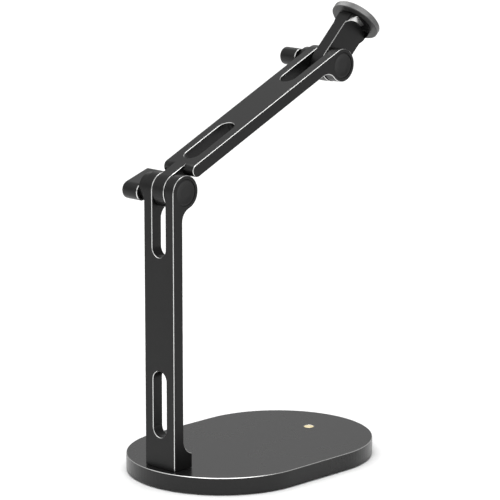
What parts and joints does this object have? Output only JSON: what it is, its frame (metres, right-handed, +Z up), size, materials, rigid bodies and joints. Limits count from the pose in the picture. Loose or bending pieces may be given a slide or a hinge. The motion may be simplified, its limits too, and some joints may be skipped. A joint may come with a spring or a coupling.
{
  "type": "articulated desktop arm",
  "caption": "Two-joint metal desktop arm on a weighted oval base, with clamping levers and a threaded head for a camera or microphone.",
  "frame": {"origin": "centre of the base's underside, on the surface it stands on", "axes": "+Z up; +X along the base's long axis from the post to the free end, the way the arm reaches; +Y across, to the side of the clamping levers"},
  "size_m": [0.2067, 0.128, 0.3023],
  "materials": {
    "coated_steel": "satin black coated steel, fine even grain",
    "black_anodised": "satin black anodised aluminium, bead blasted, bright cut edges",
    "grey_anodised": "satin grey anodised aluminium, knurled rim",
    "black_plastic": "matte black nylon",
    "steel": "zinc plated steel",
    "brass": "polished brass",
    "rubber": "matte black rubber"
  },
  "bodies": {
    "stand": {"base_plate": "coated_steel", "base_pad": "rubber", "brass_insert": "brass", "post": "black_anodised", "post_screw_near": "steel", "post_screw_far": "steel", "lower_pivot_bolt": "steel", "lower_pivot_cap": "black_plastic", "lower_friction_washer_near": "black_plastic", "lower_friction_washer_far": "black_plastic", "lower_thrust_washer": "steel"},
    "lower_clamp": {"lower_hub": "black_anodised", "lower_lever": "black_anodised"},
    "boom": {"arm": "black_anodised", "upper_pivot_bolt": "steel", "upper_pivot_cap": "black_plastic", "upper_friction_washer_near": "black_plastic", "upper_friction_washer_far": "black_plastic", "upper_thrust_washer": "steel"},
    "upper_clamp": {"upper_hub": "black_anodised", "upper_lever": "black_anodised"},
    "head": {"head_link": "black_anodised", "mount_stud": "steel"},
    "lock_ring": {"locking_disc": "grey_anodised"}
  },
  "joints": [
    {"name": "lower_pivot", "type": "hinge", "parent": "stand", "child": "boom", "pos_m": [-0.0733, 0, 0.1955], "axis": [0, -1, 0], "range_deg": [-84, 146]},
    {"name": "upper_pivot", "type": "hinge", "parent": "boom", "child": "head", "pos_m": [0.07485, 0, 0.26179], "axis": [0, -1, 0], "range_deg": [-165, 105]},
    {"name": "lower_lever_turn", "type": "hinge", "parent": "stand", "child": "lower_clamp", "pos_m": [-0.0733, 0, 0.1955], "axis": [0, 1, 0], "range_deg": [-20, 180]},
    {"name": "upper_lever_turn", "type": "hinge", "parent": "boom", "child": "upper_clamp", "pos_m": [0.07485, 0, 0.26179], "axis": [0, 1, 0], "range_deg": [-20, 180]},
    {"name": "disc_turn", "type": "hinge", "parent": "head", "child": "lock_ring", "pos_m": [0.07485, 0, 0.26179], "axis": [0.7157, 0, 0.6984], "range_deg": [-180, 180]}
  ]
}
